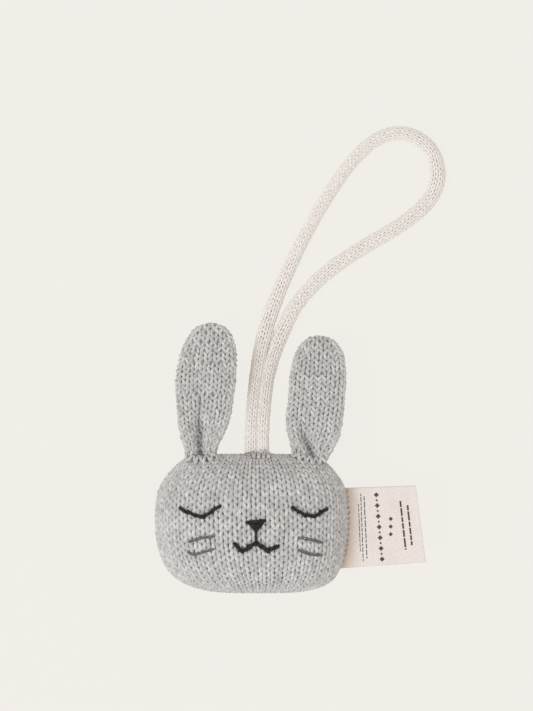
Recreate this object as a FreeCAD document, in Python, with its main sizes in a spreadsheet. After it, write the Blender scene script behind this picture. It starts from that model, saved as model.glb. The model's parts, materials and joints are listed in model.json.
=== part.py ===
"""Knitted bunny-head rattle with two ears, a hanging loop and a folded side label.

The toy lies on its back: +X is the label side, +Y runs from the chin to the ears and +Z
points out of the face. The origin is the middle of the flattened patch it rests on.
All sizes are in millimetres.
"""
import FreeCAD, Part
import math
import os

from FreeCAD import Placement, Rotation, Vector

X_AXIS = Vector(1, 0, 0)
Y_AXIS = Vector(0, 1, 0)
Z_AXIS = Vector(0, 0, 1)

doc = FreeCAD.newDocument("knitted_bunny_rattle")
sheet = doc.addObject("Spreadsheet::Sheet", "Sizes")
nodes = []


# ---------------------------------------------------------------- driving dimensions

SIZES = {
    # head: a stuffed knitted pillow, seamed round its edge at half its depth
    "seam_height": 22.0,
    "head_half_width": 46.6,
    "head_half_length": 33.8,
    "head_half_depth": 24.0,
    "knit_wall": 3.0,
    "back_wall": 2.2,
    "seam_thickness": 1.5,
    "fill_clearance": 0.25,
    "stitch_rise": 0.8,
    # embroidery
    "thread_width": 1.7,
    "whisker_width": 0.9,
    # rattle case and beads
    "case_radius": 15.0,
    "case_depth": 18.0,
    "case_wall": 1.4,
    "case_lip_height": 2.5,
    "case_fit_gap": 0.1,
    "case_clearance": 0.2,
    "bead_radius": 3.0,
    "bead_ring_radius": 6.5,
    "bead_rest_gap": 0.05,
    # ears
    "ear_hinge_height": 24.0,
    "ear_droop": 12.0,
    "ear_root_radius": 4.5,
    "ear_root_inset": 0.4,
    "left_ear_hinge_x": -24.6,
    "left_ear_hinge_y": 39.2,
    "right_ear_hinge_x": 29.7,
    "right_ear_hinge_y": 39.2,
    # sewing yarn
    "yarn_radius": 0.8,
    "sewing_thread_radius": 0.4,
    "stitch_start": 30.6,
    "stitch_end": 34.6,
    "label_stitch_start": 44.2,
    "label_stitch_end": 47.7,
    "label_stitch_pitch": 6.0,
    # hanging loop
    "cord_radius": 3.0,
    "loop_stitch_rise": 1.7,
    "loop_stitch_length": 3.0,
    # label
    "label_hinge_x": 49.2,
    "label_depth": 1.5,
    "label_gap": 0.3,
}

# Head outline: name, distance along the face, half width and half depth there.
HEAD_STATIONS = [
    ("chin_end", -33.8, 14.0, 2.6),
    ("chin_edge", -32.4, 26.0, 7.0),
    ("chin", -28.6, 35.8, 13.0),
    ("jaw", -22.6, 41.4, 18.4),
    ("lower_cheek", -13.0, 45.2, 22.6),
    ("cheek", -2.0, 46.5, 24.0),
    ("temple", 9.0, 46.4, 23.2),
    ("brow", 18.0, 44.4, 20.4),
    ("shoulder", 26.0, 39.4, 15.2),
    ("crown_edge", 31.6, 33.0, 8.6),
    ("crown", 33.8, 26.0, 2.6),
]

# Ear outlines: name, distance from the hinge, sideways offset, half width, half thickness.
EAR_STATIONS = {
    "left": [
        ("root", 0.0, 0.0, 8.0, 4.5),
        ("neck", 8.0, 1.0, 11.8, 4.0),
        ("lower", 19.2, 1.9, 13.8, 3.6),
        ("middle", 31.5, 2.4, 14.7, 3.4),
        ("upper", 43.8, 3.6, 13.5, 3.2),
        ("shoulder", 50.0, 4.7, 11.4, 2.9),
        ("near_tip", 55.4, 5.2, 8.2, 2.2),
        ("tip", 58.8, 5.4, 3.0, 0.9),
    ],
    "right": [
        ("root", 0.0, 0.0, 10.4, 4.5),
        ("neck", 5.6, 0.2, 12.8, 4.0),
        ("lower", 19.2, 1.5, 14.0, 3.6),
        ("middle", 31.5, 2.4, 13.6, 3.4),
        ("upper", 40.8, 2.9, 12.5, 3.2),
        ("shoulder", 46.8, 3.1, 10.0, 2.8),
        ("near_tip", 51.0, 3.2, 6.8, 2.0),
        ("tip", 53.8, 3.2, 2.6, 0.9),
    ],
}

# Embroidered lines, each a chain of straight stitches across the face.
DARK_LINES = {
    "left_eye": [[(-34.8, 7.4), (-27.0, 3.2), (-23.0, 2.8), (-15.1, 8.4)]],
    "right_eye": [[(19.9, 7.4), (26.3, 3.2), (30.9, 2.9), (36.7, 6.8)]],
    "mouth": [
        [(2.1, -4.8), (2.1, -9.4)],
        [(-8.6, -9.7), (-4.4, -13.9), (2.1, -9.4), (8.2, -13.6), (12.9, -10.4)],
    ],
}
WHISKERS = {
    "left_upper_whisker": [[(-30.3, -9.1), (-18.0, -6.4)]],
    "left_lower_whisker": [[(-29.6, -14.6), (-26.4, -14.9), (-18.0, -12.3)]],
    "right_upper_whisker": [[(22.1, -7.1), (34.7, -9.7)]],
    "right_lower_whisker": [[(22.8, -13.3), (34.4, -15.6)]],
}
NOSE_CORNERS = [(-2.6, 1.2), (6.9, 1.2), (2.1, -4.0)]

# Label corners, measured from its hinge line; the fold lies slightly askew.
LABEL_CORNERS = [(0.0, -21.0), (34.4, -19.0), (29.6, 18.1), (0.0, 16.9)]

# Route of the loop's cord, out of the crown, round the loop and back beside itself.
CORD_ROUTE = [
    (-1.0, 37.8, 21.5),
    (-1.0, 46.0, 20.2),
    (-0.4, 57.0, 14.0),
    (1.2, 70.0, 6.2),
    (4.0, 84.0, 3.1),
    (8.6, 99.0, 3.1),
    (16.0, 117.5, 3.1),
    (26.0, 140.0, 3.1),
    (36.5, 158.0, 3.1),
    (48.0, 174.6, 3.1),
    (60.7, 186.8, 3.1),
    (74.4, 190.1, 3.1),
    (87.2, 184.0, 3.1),
    (93.4, 171.3, 3.1),
    (90.4, 157.5, 3.1),
    (74.1, 144.3, 3.1),
    (56.5, 135.5, 3.1),
    (37.0, 122.5, 3.1),
    (22.5, 107.5, 3.1),
    (15.6, 95.5, 3.1),
    (11.0, 84.0, 3.1),
    (7.8, 70.0, 6.2),
    (6.1, 57.0, 14.0),
    (5.6, 46.0, 20.2),
    (5.6, 37.8, 21.5),
]
ARC_SHARE = 0.45


def fill_sheet():
    """Write every driving dimension into the sheet, one aliased cell each."""
    rows = dict(SIZES)
    for name, along, half_width, half_depth in HEAD_STATIONS:
        rows[f"{name}_along"] = along
        rows[f"{name}_half_width"] = half_width
        rows[f"{name}_half_depth"] = half_depth
    for side, stations in EAR_STATIONS.items():
        for name, along, offset, half_width, half_thickness in stations:
            rows[f"{side}_ear_{name}_along"] = along
            rows[f"{side}_ear_{name}_offset"] = offset
            rows[f"{side}_ear_{name}_half_width"] = half_width
            rows[f"{side}_ear_{name}_half_thickness"] = half_thickness
    for row, (alias, value) in enumerate(rows.items(), start=1):
        sheet.set(f"A{row}", alias)
        sheet.set(f"B{row}", str(value))
        sheet.setAlias(f"B{row}", alias)
    doc.recompute()


def size(alias):
    """The value of one cell of the sheet."""
    return float(sheet.get(alias))


def add(kind, name, bindings=None, **properties):
    """Add a document object, set its properties and bind its sizes to the sheet."""
    item = doc.addObject(kind, name)
    item.Label = name
    for key, value in properties.items():
        setattr(item, key, value)
    for key, expression in (bindings or {}).items():
        item.setExpression(key, expression)
    return item


def keep(item, name):
    """Register a finished sub-part under the name of its node."""
    item.Label = name
    nodes.append(item)
    return item


# ---------------------------------------------------------------- head

def head_form(name, offset):
    """Loft of ellipses across the head, grown by `offset` (an expression) all round."""
    sections = []
    for station, *_ in HEAD_STATIONS:
        cells = f"Sizes.{station}"
        sections.append(add(
            "Part::Ellipse", f"{name}_{station}",
            Placement=Placement(Vector(0, 0, 0), Rotation(X_AXIS, 90)),
            bindings={
                "MajorRadius": f"{cells}_half_width * (1 + {offset} / Sizes.head_half_width)",
                "MinorRadius": f"{cells}_half_depth * (1 + {offset} / Sizes.head_half_depth)",
                "Placement.Base.y": f"{cells}_along * (1 + {offset} / Sizes.head_half_length)",
                "Placement.Base.z": "Sizes.seam_height",
            }))
    return add("Part::Loft", name, Sections=sections, Solid=True, Ruled=False)


def slab(name, bottom, top):
    """A wide horizontal slab between two heights, given as expressions."""
    return add("Part::Box", name, bindings={
        "Length": "4 * Sizes.head_half_width",
        "Width": "4 * Sizes.head_half_length",
        "Height": f"({top}) - ({bottom})",
        "Placement.Base.x": "-2 * Sizes.head_half_width",
        "Placement.Base.y": "-2 * Sizes.head_half_length",
        "Placement.Base.z": bottom,
    })


def build_head():
    """Front and back panels, the seam between them and the filling."""
    outer = head_form("outer_form", "0")
    inner = head_form("inner_form", "-Sizes.knit_wall")
    cavity_slab = slab("cavity_slab", "Sizes.back_wall", "3 * Sizes.seam_height")
    cavity = add("Part::Common", "cavity", Base=inner, Tool=cavity_slab)
    shell = add("Part::Cut", "shell", Base=outer, Tool=cavity)

    seam_low = "Sizes.seam_height - Sizes.seam_thickness / 2"
    seam_high = "Sizes.seam_height + Sizes.seam_thickness / 2"
    layers = {
        "front_panel": (seam_high, "3 * Sizes.seam_height"),
        "seam_yarn": (seam_low, seam_high),
        "back_panel": ("0", seam_low),
    }
    for name, (bottom, top) in layers.items():
        layer = slab(f"{name}_slab", bottom, top)
        keep(add("Part::Common", name, Base=shell, Tool=layer), name)

    fill = head_form("fill_form", "-(Sizes.knit_wall + Sizes.fill_clearance)")
    fill_slab = slab("fill_slab", "Sizes.back_wall + Sizes.fill_clearance",
                     "3 * Sizes.seam_height")
    filling = add("Part::Common", "filling", Base=fill, Tool=fill_slab)
    pocket = add("Part::Cylinder", "case_pocket", bindings={
        "Radius": "Sizes.case_radius + Sizes.case_clearance",
        "Height": "Sizes.case_depth + 2 * Sizes.case_clearance",
        "Placement.Base.z":
            "Sizes.seam_height - Sizes.case_depth / 2 - Sizes.case_clearance",
    })
    keep(add("Part::Cut", "stuffing", Base=filling, Tool=pocket), "stuffing")
    return outer


# ---------------------------------------------------------------- embroidery

def stitch_chain(name, chains, width):
    """Straight stitches with round ends along each chain, as one upright prism."""
    pieces = []
    top = "3 * Sizes.seam_height"
    for chain_number, points in enumerate(chains):
        for number, (x, y) in enumerate(points):
            pieces.append(add(
                "Part::Cylinder", f"{name}_end_{chain_number}_{number}",
                Placement=Placement(Vector(x, y, size("seam_height")), Rotation()),
                bindings={"Radius": f"{width} / 2", "Height": top}))
        for number, (start, end) in enumerate(zip(points, points[1:])):
            run = Vector(*end, 0) - Vector(*start, 0)
            turn = Rotation(X_AXIS, run)
            corner = Vector(*start, size("seam_height")) + turn.multVec(
                Vector(0, -size(width.replace("Sizes.", "")) / 2, 0))
            pieces.append(add(
                "Part::Box", f"{name}_stitch_{chain_number}_{number}",
                Placement=Placement(corner, turn), Length=run.Length,
                bindings={"Width": width, "Height": top}))
    return add("Part::MultiFuse", f"{name}_prism", Shapes=pieces)


def nose_prism():
    """Upright triangular prism of the satin-stitched nose."""
    body = doc.addObject("PartDesign::Body", "nose_body")
    plane = next(feature for feature in body.Origin.OriginFeatures
                 if feature.Role == "XY_Plane")
    sketch = body.newObject("Sketcher::SketchObject", "nose_outline")
    sketch.AttachmentSupport = [(plane, "")]
    sketch.MapMode = "FlatFace"
    corners = [Vector(x, y, 0) for x, y in NOSE_CORNERS]
    for start, end in zip(corners, corners[1:] + corners[:1]):
        sketch.addGeometry(Part.LineSegment(start, end), False)
    pad = body.newObject("PartDesign::Pad", "nose_pad")
    pad.Profile = sketch
    pad.setExpression("Length", "3 * Sizes.seam_height")
    body.Tip = pad
    return body


def build_face(outer):
    """Eyes, nose, mouth and whiskers: thin raised layers that follow the front panel."""
    raised = head_form("raised_form", "Sizes.stitch_rise")
    layer = add("Part::Cut", "stitch_layer", Base=raised, Tool=outer)
    front_slab = slab("face_slab", "Sizes.seam_height + Sizes.seam_thickness",
                      "3 * Sizes.seam_height")
    front_layer = add("Part::Common", "front_stitch_layer", Base=layer, Tool=front_slab)
    prisms = {name: stitch_chain(name, chains, "Sizes.thread_width")
              for name, chains in DARK_LINES.items()}
    prisms.update({name: stitch_chain(name, chains, "Sizes.whisker_width")
                   for name, chains in WHISKERS.items()})
    nose = nose_prism()
    prisms["mouth"] = add("Part::Cut", "mouth_below_nose", Base=prisms["mouth"], Tool=nose)
    prisms["nose"] = nose
    for name, prism in prisms.items():
        keep(add("Part::Common", name, Base=front_layer, Tool=prism), name)


# ---------------------------------------------------------------- rattle inside the head

def revolved_cup(name, outline, mirrored):
    """A cup of revolution about Z from its outline of (radius, height) corners."""
    body = doc.addObject("PartDesign::Body", name)
    body.Label = name
    features = {feature.Role: feature for feature in body.Origin.OriginFeatures}
    sketch = body.newObject("Sketcher::SketchObject", f"{name}_outline")
    sketch.AttachmentSupport = [(features["XZ_Plane"], "")]
    sketch.MapMode = "FlatFace"
    corners = [Vector(radius, height, 0) for radius, height in outline]
    for start, end in zip(corners, corners[1:] + corners[:1]):
        sketch.addGeometry(Part.LineSegment(start, end), False)
    doc.recompute()
    revolution = body.newObject("PartDesign::Revolution", f"{name}_revolution")
    revolution.Profile = sketch
    revolution.ReferenceAxis = (features["Z_Axis"], [""])
    revolution.Angle = 360
    body.Tip = revolution
    turn = Rotation(X_AXIS, 180) if mirrored else Rotation()
    body.Placement = Placement(Vector(0, 0, 0), turn)
    body.setExpression("Placement.Base.z", "Sizes.seam_height")
    return keep(body, name)


def build_rattle():
    """Two snapped cups with loose beads on the floor of the lower one."""
    radius = size("case_radius")
    wall = size("case_wall")
    half_depth = size("case_depth") / 2
    lip = size("case_lip_height")
    gap = size("case_fit_gap")
    middle = radius - wall / 2
    lower = [(0, -half_depth), (radius, -half_depth), (radius, 0), (middle, 0),
             (middle, -lip), (radius - wall, -lip), (radius - wall, wall - half_depth),
             (0, wall - half_depth)]
    # The upper cup is drawn upside down and turned over; its lip enters the lower cup.
    upper = [(0, -half_depth), (radius, -half_depth), (radius, -gap / 2),
             (middle - gap, -gap / 2), (middle - gap, lip - gap), (radius - wall, lip - gap),
             (radius - wall, wall - half_depth), (0, wall - half_depth)]
    revolved_cup("rattle_case_lower", lower, mirrored=False)
    revolved_cup("rattle_case_upper", upper, mirrored=True)
    for number in (1, 2, 3):
        angle = math.radians(90 + 120 * number)
        name = f"rattle_bead_{number}"
        keep(add("Part::Sphere", name, bindings={
            "Radius": "Sizes.bead_radius",
            "Placement.Base.x": f"Sizes.bead_ring_radius * {math.cos(angle):.6f}",
            "Placement.Base.y": f"Sizes.bead_ring_radius * {math.sin(angle):.6f}",
            "Placement.Base.z": "Sizes.seam_height - Sizes.case_depth / 2 + Sizes.case_wall"
                                " + Sizes.bead_rest_gap + Sizes.bead_radius",
        }), name)


# ---------------------------------------------------------------- ears

def build_ear(side):
    """A flat double-knitted ear that pivots about its rounded root and droops a little."""
    sections = []
    for station, *_ in EAR_STATIONS[side]:
        cells = f"Sizes.{side}_ear_{station}"
        # The blade starts a little inside its rounded root, so no edge of theirs coincides.
        inset = "Sizes.ear_root_inset" if station == "root" else "0"
        sections.append(add(
            "Part::Ellipse", f"{side}_ear_{station}_section",
            Placement=Placement(Vector(0, 0, 0), Rotation(X_AXIS, 90)),
            bindings={
                "MajorRadius": f"{cells}_half_width - {inset}",
                "MinorRadius": f"{cells}_half_thickness - {inset}",
                "Placement.Base.x": f"{cells}_offset",
                "Placement.Base.y": f"{cells}_along",
            }))
    blade = add("Part::Loft", f"{side}_ear_blade", Sections=sections, Solid=True,
                Ruled=False)
    root = add("Part::Ellipsoid", f"{side}_ear_root_end", Angle1=-90, bindings={
        "Radius1": "Sizes.ear_root_radius",
        "Radius2": f"Sizes.{side}_ear_root_half_width",
        "Radius3": "Sizes.ear_root_radius",
    })
    ear = add("Part::Fuse", f"{side}_ear", Base=blade, Tool=root,
              Placement=Placement(Vector(0, 0, 0), Rotation(X_AXIS, -size("ear_droop"))),
              bindings={
                  "Placement.Base.x": f"Sizes.{side}_ear_hinge_x",
                  "Placement.Base.y": f"Sizes.{side}_ear_hinge_y",
                  "Placement.Base.z": "Sizes.ear_hinge_height",
              })
    return keep(ear, f"{side}_ear")


# ---------------------------------------------------------------- sewing that joins the pieces

def stitches_into_head(name, outer, starts, direction, length, radius):
    """Short straight stitches that start under the knit; only what stands out is kept."""
    pegs = []
    for number, start in enumerate(starts, start=1):
        pegs.append(add(
            "Part::Cylinder", f"{name}_{number}",
            Placement=Placement(start, Rotation(Z_AXIS, direction)), Height=length,
            bindings={"Radius": f"Sizes.{radius}"}))
    group = add("Part::MultiFuse", f"{name}_group", Shapes=pegs)
    return keep(add("Part::Cut", name, Base=group, Tool=outer), name)


def build_sewing(outer):
    """Yarn that sews on the ears and the cord, and thread that catches the label."""
    seam = size("seam_height")
    yarn = size("yarn_radius")
    under_crown = size("stitch_start")
    reach = size("stitch_end") - under_crown
    for side in ("left", "right"):
        middle = size(f"{side}_ear_hinge_x")
        beside = size(f"{side}_ear_root_half_width") + 2 * yarn
        starts = [Vector(middle - math.copysign(beside, middle), under_crown, seam),
                  Vector(middle, under_crown, seam + 4 * yarn),
                  Vector(middle, under_crown, seam - 4 * yarn)]
        stitches_into_head(f"{side}_ear_stitches", outer, starts, Y_AXIS, reach,
                           "yarn_radius")
    beside = size("cord_radius") + 1.5 * yarn
    starts = [Vector(CORD_ROUTE[0][0] - beside, under_crown, seam),
              Vector(CORD_ROUTE[-1][0] + beside, under_crown, seam)]
    stitches_into_head("cord_anchor_stitches", outer, starts, Y_AXIS, reach, "yarn_radius")
    pitch = size("label_stitch_pitch")
    under_side = size("label_stitch_start")
    starts = [Vector(under_side, pitch * place, seam) for place in range(-2, 3)]
    stitches_into_head("label_stitches", outer, starts, X_AXIS,
                       size("label_stitch_end") - under_side, "sewing_thread_radius")


# ---------------------------------------------------------------- hanging loop

def rounded_route(points, share):
    """A wire of straight runs joined by tangent arcs, and the radii of its arcs."""
    corners = [Vector(*point) for point in points]
    edges = []
    radii = []
    last = corners[0]
    for before, corner, after in zip(corners, corners[1:], corners[2:]):
        back = before - corner
        ahead = after - corner
        reach = share * min(back.Length, ahead.Length)
        back.normalize()
        ahead.normalize()
        half_turn = (math.pi - back.getAngle(ahead)) / 2
        radius = reach / math.tan(half_turn)
        inward = back + ahead
        inward.normalize()
        depth = radius / math.cos(half_turn) - radius
        start, end = corner + back * reach, corner + ahead * reach
        edges.append(Part.LineSegment(last, start).toShape())
        edges.append(Part.Arc(start, corner + inward * depth, end).toShape())
        radii.append(radius)
        last = end
    edges.append(Part.LineSegment(last, corners[-1]).toShape())
    return Part.Wire(edges), radii


def build_loop():
    """The loop's knitted cord, and the stitches in the groove between its two legs."""
    wire, radii = rounded_route(CORD_ROUTE, ARC_SHARE)
    route = doc.addObject("Part::Feature", "cord_route")
    route.Shape = wire
    first_run = Vector(*CORD_ROUTE[1]) - Vector(*CORD_ROUTE[0])
    section = add("Part::Circle", "cord_section",
                  Placement=Placement(Vector(*CORD_ROUTE[0]), Rotation(Z_AXIS, first_run)),
                  bindings={"Radius": "Sizes.cord_radius"})
    cord = add("Part::Sweep", "hanging_cord", Sections=[section],
               Spine=(route, [f"Edge{n + 1}" for n in range(len(wire.Edges))]),
               Solid=True, Frenet=False)
    keep(cord, "hanging_cord")

    # Each stitch lies along the groove between the two legs, above the middle of a run.
    points = [Vector(*point) for point in CORD_ROUTE]
    stitch_length = size("loop_stitch_length")
    threads = []
    for number in (2, 3, 4):
        far = (points[number] + points[-1 - number]) / 2
        near = (points[number - 1] + points[-number]) / 2
        along = far - near
        along.normalize()
        up = X_AXIS.cross(along)
        middle = (far + near) / 2 + up * size("loop_stitch_rise")
        threads.append(add("Part::Cylinder", f"loop_stitch_{number}",
                           Placement=Placement(middle - along * stitch_length / 2,
                                               Rotation(Z_AXIS, along)),
                           bindings={"Radius": "Sizes.sewing_thread_radius",
                                     "Height": "Sizes.loop_stitch_length"}))
    keep(add("Part::MultiFuse", "loop_stitches", Shapes=threads), "loop_stitches")
    return wire, radii, cord


# ---------------------------------------------------------------- label

def build_label():
    """A tape folded in half: two layers, joined at the fold and at the sewn end."""
    body = doc.addObject("PartDesign::Body", "label")
    body.Label = "label"
    features = {feature.Role: feature for feature in body.Origin.OriginFeatures}

    outline = body.newObject("Sketcher::SketchObject", "label_outline")
    outline.AttachmentSupport = [(features["XY_Plane"], "")]
    outline.MapMode = "FlatFace"
    corners = [Vector(x, y, 0) for x, y in LABEL_CORNERS]
    for start, end in zip(corners, corners[1:] + corners[:1]):
        outline.addGeometry(Part.LineSegment(start, end), False)
    pad = body.newObject("PartDesign::Pad", "label_pad")
    pad.Profile = outline
    pad.Midplane = True
    pad.setExpression("Length", "Sizes.label_depth")
    body.Tip = pad
    doc.recompute()
    full_volume = body.Shape.Volume

    gap = body.newObject("Sketcher::SketchObject", "label_gap_outline")
    gap.AttachmentSupport = [(features["XZ_Plane"], "")]
    gap.MapMode = "FlatFace"
    half_gap = size("label_gap") / 2
    low, high = Vector(2.0, -half_gap, 0), Vector(28.0, half_gap, 0)
    box = [low, Vector(high.x, low.y, 0), high, Vector(low.x, high.y, 0)]
    for start, end in zip(box, box[1:] + box[:1]):
        gap.addGeometry(Part.LineSegment(start, end), False)
    pocket = body.newObject("PartDesign::Pocket", "label_gap")
    pocket.Profile = gap
    pocket.Type = 1
    pocket.Midplane = True
    body.Tip = pocket
    doc.recompute()
    if body.Shape.Volume >= full_volume:
        raise SystemExit("the gap between the label's layers was not cut")

    body.setExpression("Placement.Base.x", "Sizes.label_hinge_x")
    body.setExpression("Placement.Base.z", "Sizes.seam_height")
    return keep(body, "label")


# ---------------------------------------------------------------- build, check and write

def check_document():
    """Stop if any object failed or any sub-part is empty or invalid."""
    for item in doc.Objects:
        if "Invalid" in item.State or "Error" in item.State:
            raise SystemExit(f"{item.Name} failed: {item.State}")
    for item in nodes:
        shape = item.Shape
        if shape.isNull() or not shape.isValid() or not shape.Solids:
            raise SystemExit(f"{item.Label} has no valid solid")


def report(wire, radii, cord):
    """Print what each sub-part came to, and compare the cord with its section and length."""
    for item in nodes:
        box = item.Shape.optimalBoundingBox()
        print(f"{item.Label}: {len(item.Shape.Solids)} solid(s), "
              f"{item.Shape.Volume:.1f} mm3, x {box.XMin:.1f}..{box.XMax:.1f}, "
              f"y {box.YMin:.1f}..{box.YMax:.1f}, z {box.ZMin:.1f}..{box.ZMax:.1f}")
    expected = math.pi * size("cord_radius") ** 2 * wire.Length
    print(f"cord length {wire.Length:.1f} mm, volume {cord.Shape.Volume:.0f} mm3 "
          f"against {expected:.0f} mm3")
    print("cord radii in diameters:",
          ", ".join(f"{radius / (2 * size('cord_radius')):.1f}" for radius in radii))


def write_parts():
    """Write each sub-part to parts/, one STEP file per node."""
    os.makedirs("parts", exist_ok=True)
    for item in nodes:
        item.Shape.exportStep(f"parts/{item.Label}.step")


def main():
    fill_sheet()
    outer = build_head()
    build_face(outer)
    build_rattle()
    build_ear("left")
    build_ear("right")
    build_sewing(outer)
    wire, radii, cord = build_loop()
    build_label()
    doc.recompute()
    check_document()
    report(wire, radii, cord)
    write_parts()


main()
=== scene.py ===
"""The looks of a small hand-knitted bunny head: a pram rattle with two ears and a hanging loop.

Every knitted piece is built of yarn: each stitch is a looped tube, and courses of stitches are
laid over a smooth surface, the fabric. Lengths are in metres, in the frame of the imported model:
+X towards the side label, +Y from the chin to the ears, +Z out of the face.
"""

import json
import math
from collections import namedtuple

import bpy
import numpy as np
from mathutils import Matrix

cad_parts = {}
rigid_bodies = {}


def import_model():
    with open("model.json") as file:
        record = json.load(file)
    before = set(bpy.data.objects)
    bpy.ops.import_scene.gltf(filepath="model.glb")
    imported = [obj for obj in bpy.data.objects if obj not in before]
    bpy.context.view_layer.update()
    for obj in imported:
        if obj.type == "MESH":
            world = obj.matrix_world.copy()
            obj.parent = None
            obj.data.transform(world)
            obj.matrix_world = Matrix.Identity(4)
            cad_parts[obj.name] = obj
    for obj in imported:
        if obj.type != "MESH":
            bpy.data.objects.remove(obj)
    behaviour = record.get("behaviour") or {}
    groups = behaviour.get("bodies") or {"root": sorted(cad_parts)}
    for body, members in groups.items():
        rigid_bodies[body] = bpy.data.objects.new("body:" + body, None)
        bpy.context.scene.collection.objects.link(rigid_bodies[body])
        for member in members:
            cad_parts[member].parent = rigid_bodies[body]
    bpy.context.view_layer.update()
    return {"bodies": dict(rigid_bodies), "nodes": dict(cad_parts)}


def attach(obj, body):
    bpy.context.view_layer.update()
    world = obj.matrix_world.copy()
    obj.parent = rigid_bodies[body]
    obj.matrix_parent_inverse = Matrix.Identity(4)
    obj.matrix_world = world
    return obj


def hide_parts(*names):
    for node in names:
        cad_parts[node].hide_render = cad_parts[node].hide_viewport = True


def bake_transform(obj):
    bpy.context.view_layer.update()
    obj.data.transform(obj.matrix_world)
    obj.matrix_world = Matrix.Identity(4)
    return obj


MM = 0.001
TURN = 2 * math.pi

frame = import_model()

# ---------------- camera, floor and light

CAMERA_TARGET = (7.2 * MM, 80.9 * MM, 22 * MM)
CAMERA_DISTANCE = 1.6
VIEW_HEIGHT = 343.4 * MM
SENSOR = 36.0
FARTHEST_SEEN = 20
PAPER_WHITE = (0.879, 0.855, 0.812, 1)
FLOOR_HALF = 6.0
FLOOR_GLOW = 0.95
SKY_STRENGTH = 0.985
# Name, place, size and power.
LAMPS = (("key_lamp", (-1.15, -0.55, 1.4), 0.9, 12.4), ("fill_lamp", (1.2, 0.2, 0.9), 0.7, 0.6))


def new_object(name, data):
    """An object made of some data, put in the scene."""
    made = bpy.data.objects.new(name, data)
    bpy.context.scene.collection.objects.link(made)
    return made


def make_camera():
    """The toy lies on its back, and the camera looks straight down at it."""
    data = bpy.data.cameras.new("camera")
    data.sensor_width = SENSOR
    data.lens = SENSOR * CAMERA_DISTANCE / VIEW_HEIGHT
    data.clip_end = FARTHEST_SEEN
    camera = new_object("camera", data)
    x, y, z = CAMERA_TARGET
    camera.location = (x, y, z + CAMERA_DISTANCE)
    bpy.context.scene.camera = camera


def make_floor():
    """A pale sweep that glows a little, so the toy leaves only a faint shadow on it."""
    half = FLOOR_HALF
    mesh = bpy.data.meshes.new("floor")
    corners = [(-half, -half, 0), (half, -half, 0), (half, half, 0), (-half, half, 0)]
    mesh.from_pydata(corners, [], [(0, 1, 2, 3)])
    floor = new_object("floor", mesh)
    material, tree, shader = new_material("floor_paper")
    shader.inputs["Base Color"].default_value = PAPER_WHITE
    shader.inputs["Roughness"].default_value = 1
    shader.inputs["Specular IOR Level"].default_value = 0
    paper = node(tree, "ShaderNodeEmission", {"Color": PAPER_WHITE, "Strength": 1.0})
    mixed = node(tree, "ShaderNodeMixShader",
                 {0: FLOOR_GLOW, 1: shader.outputs[0], 2: paper.outputs[0]})
    tree.links.new(mixed.outputs[0], tree.nodes["Material Output"].inputs["Surface"])
    mesh.materials.append(material)


def make_lights():
    """Even light from all round, and one large soft lamp on the left."""
    world = bpy.data.worlds.new("studio")
    bpy.context.scene.world = world
    world.use_nodes = True
    sky = world.node_tree.nodes["Background"]
    sky.inputs["Color"].default_value = PAPER_WHITE
    sky.inputs["Strength"].default_value = SKY_STRENGTH
    for name, place, size, power in LAMPS:
        data = bpy.data.lights.new(name, "AREA")
        data.shape = "SQUARE"
        data.size = size
        data.energy = power
        lamp = new_object(name, data)
        lamp.location = place
        aim = lamp.constraints.new("TRACK_TO")
        aim.target = frame["bodies"]["head"]
        aim.track_axis = "TRACK_NEGATIVE_Z"
        aim.up_axis = "UP_Y"
    bpy.context.scene.view_settings.view_transform = "Standard"


# ---------------- node helpers


def new_material(name):
    """A material with one Principled shader wired to its output."""
    material = bpy.data.materials.new(name)
    material.use_nodes = True
    tree = material.node_tree
    shader = tree.nodes["Principled BSDF"]
    return material, tree, shader


def node(tree, kind, inputs=None, **settings):
    """Adds a node. An input is set to a number or colour, or linked to a socket."""
    made = tree.nodes.new(kind)
    for key, value in settings.items():
        setattr(made, key, value)
    for key, value in (inputs or {}).items():
        socket = made.inputs[key]
        if isinstance(value, bpy.types.NodeSocket):
            tree.links.new(value, socket)
        else:
            socket.default_value = (*value, 1)[:4] if socket.type == "RGBA" else value
    return made


def from_mesh(tree, name, output="Vector"):
    """A value that the mesh carries at each of its points."""
    return node(tree, "ShaderNodeAttribute", attribute_name=name).outputs[output]


def calculated(tree, operation, first, second, kind="Math", output=0):
    made = node(tree, "ShaderNode" + kind, {0: first, 1: second}, operation=operation)
    return made.outputs[output]


def noise(tree, vector, factors, detail=3.0):
    """Noise over a vector socket, which is first multiplied by three factors."""
    place = calculated(tree, "MULTIPLY", vector, factors, "VectorMath")
    made = node(tree, "ShaderNodeTexNoise",
                {"Vector": place, "Scale": 1.0, "Detail": detail, "Roughness": 0.55})
    return made.outputs["Fac"]


def mix(tree, value, low, high, first, second):
    """First colour where value is at or below low, second where it is at or above high."""
    share = node(tree, "ShaderNodeMapRange", {"Value": value, "From Min": low, "From Max": high})
    inputs = {0: share.outputs["Result"], 6: first, 7: second}
    return node(tree, "ShaderNodeMix", inputs, data_type="RGBA").outputs[2]


def finished(parts, colour, settings, height, strength, distance):
    """Gives a material's shader its colour, its other settings and its relief."""
    material, tree, shader = parts
    tree.links.new(colour, shader.inputs["Base Color"])
    for name, value in settings.items():
        shader.inputs[name].default_value = value
    relief = node(tree, "ShaderNodeBump",
                  {"Height": height, "Strength": strength, "Distance": distance})
    tree.links.new(relief.outputs["Normal"], shader.inputs["Normal"])
    return material


# ---------------- materials

# Grains to the metre: across the yarn, across it and along it.
FIBRES, DRIFT, SPECKS = (4200, 4200, 420), (260, 260, 240), (5200, 5200, 900)
# Grains to the metre on the tape: out from the seam, and along it.
WEFT, WARP = (700, 2600, 0), (2600, 700, 0)
BLOTCHES, RAGGED = (70, 55, 0), (240, 180, 0)


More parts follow.
